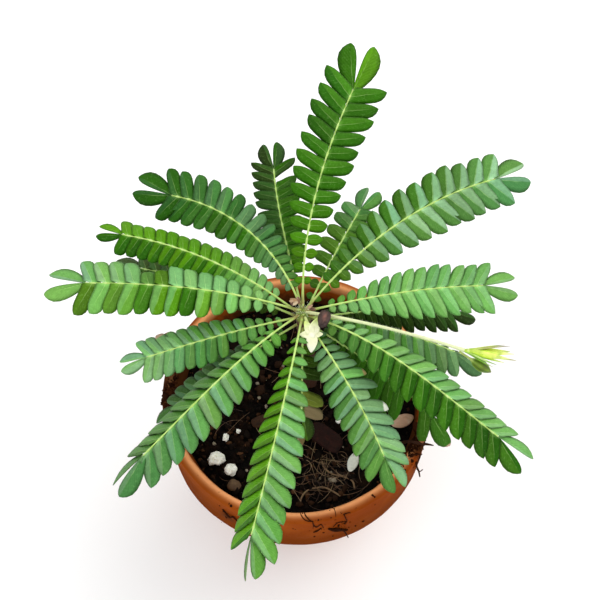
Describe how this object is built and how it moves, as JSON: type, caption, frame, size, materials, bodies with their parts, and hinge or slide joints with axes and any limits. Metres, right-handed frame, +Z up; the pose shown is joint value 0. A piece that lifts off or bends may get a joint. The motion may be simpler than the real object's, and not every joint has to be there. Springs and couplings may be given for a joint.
{
  "type": "potted biophytum",
  "caption": "Small potted plant: a rosette of feather-like leaves on a short woody stem, with a flower stalk, in a clay pot with a thick collar and a drain hole.",
  "frame": {"origin": "on the ground under the middle of the whole plant's bounding box; the pot's axis stands 0.5 mm to -X and 5.2 mm to -Y of it", "axes": "+Z up along the pot's axis, +X to the plant's right and +Y to its back, as the picture shows it"},
  "size_m": [0.1809, 0.1825, 0.1929],
  "materials": {
    "terracotta": "matte",
    "soil": "matte",
    "stem": "matte",
    "leaf": "satin",
    "old_leaf": "matte",
    "stalk": "matte",
    "calyx": "satin",
    "bud": "satin",
    "pale_capsule": "matte",
    "dry_capsule": "matte",
    "scale": "matte",
    "perlite": "matte",
    "pebble": "matte",
    "bark": "matte",
    "dry_leaflet": "matte",
    "root": "matte"
  },
  "bodies": {
    "root": {"pot": "terracotta", "soil": "soil", "stem": "stem", "leaf_01": "leaf", "leaf_02": "leaf", "leaf_03": "leaf", "leaf_04": "leaf", "leaf_05": "leaf", "leaf_06": "leaf", "leaf_07": "leaf", "leaf_08": "leaf", "leaf_09": "leaf", "leaf_10": "leaf", "leaf_11": "leaf", "leaf_12": "leaf", "leaf_13": "leaf", "leaf_14": "leaf", "leaf_15": "leaf", "leaf_16": "old_leaf", "leaf_17": "old_leaf", "leaf_18": "old_leaf", "leaf_19": "leaf", "flower_stalk": "stalk", "calyx": "calyx", "hanging_bud": "bud", "open_capsule": "pale_capsule", "capsule_pedicel": "stalk", "dry_capsule": "dry_capsule", "crown_scale_1": "scale", "crown_scale_2": "scale", "perlite_1": "perlite", "perlite_2": "perlite", "perlite_3": "perlite", "perlite_4": "perlite", "perlite_5": "perlite", "perlite_6": "perlite", "pebble": "pebble", "bark_1": "bark", "bark_2": "bark", "bark_3": "bark", "fallen_leaflet_1": "dry_leaflet", "fallen_leaflet_2": "dry_leaflet", "fallen_leaflet_3": "dry_leaflet", "root_strand_1": "root", "root_strand_2": "root", "twig": "bark"}
  },
  "joints": []
}
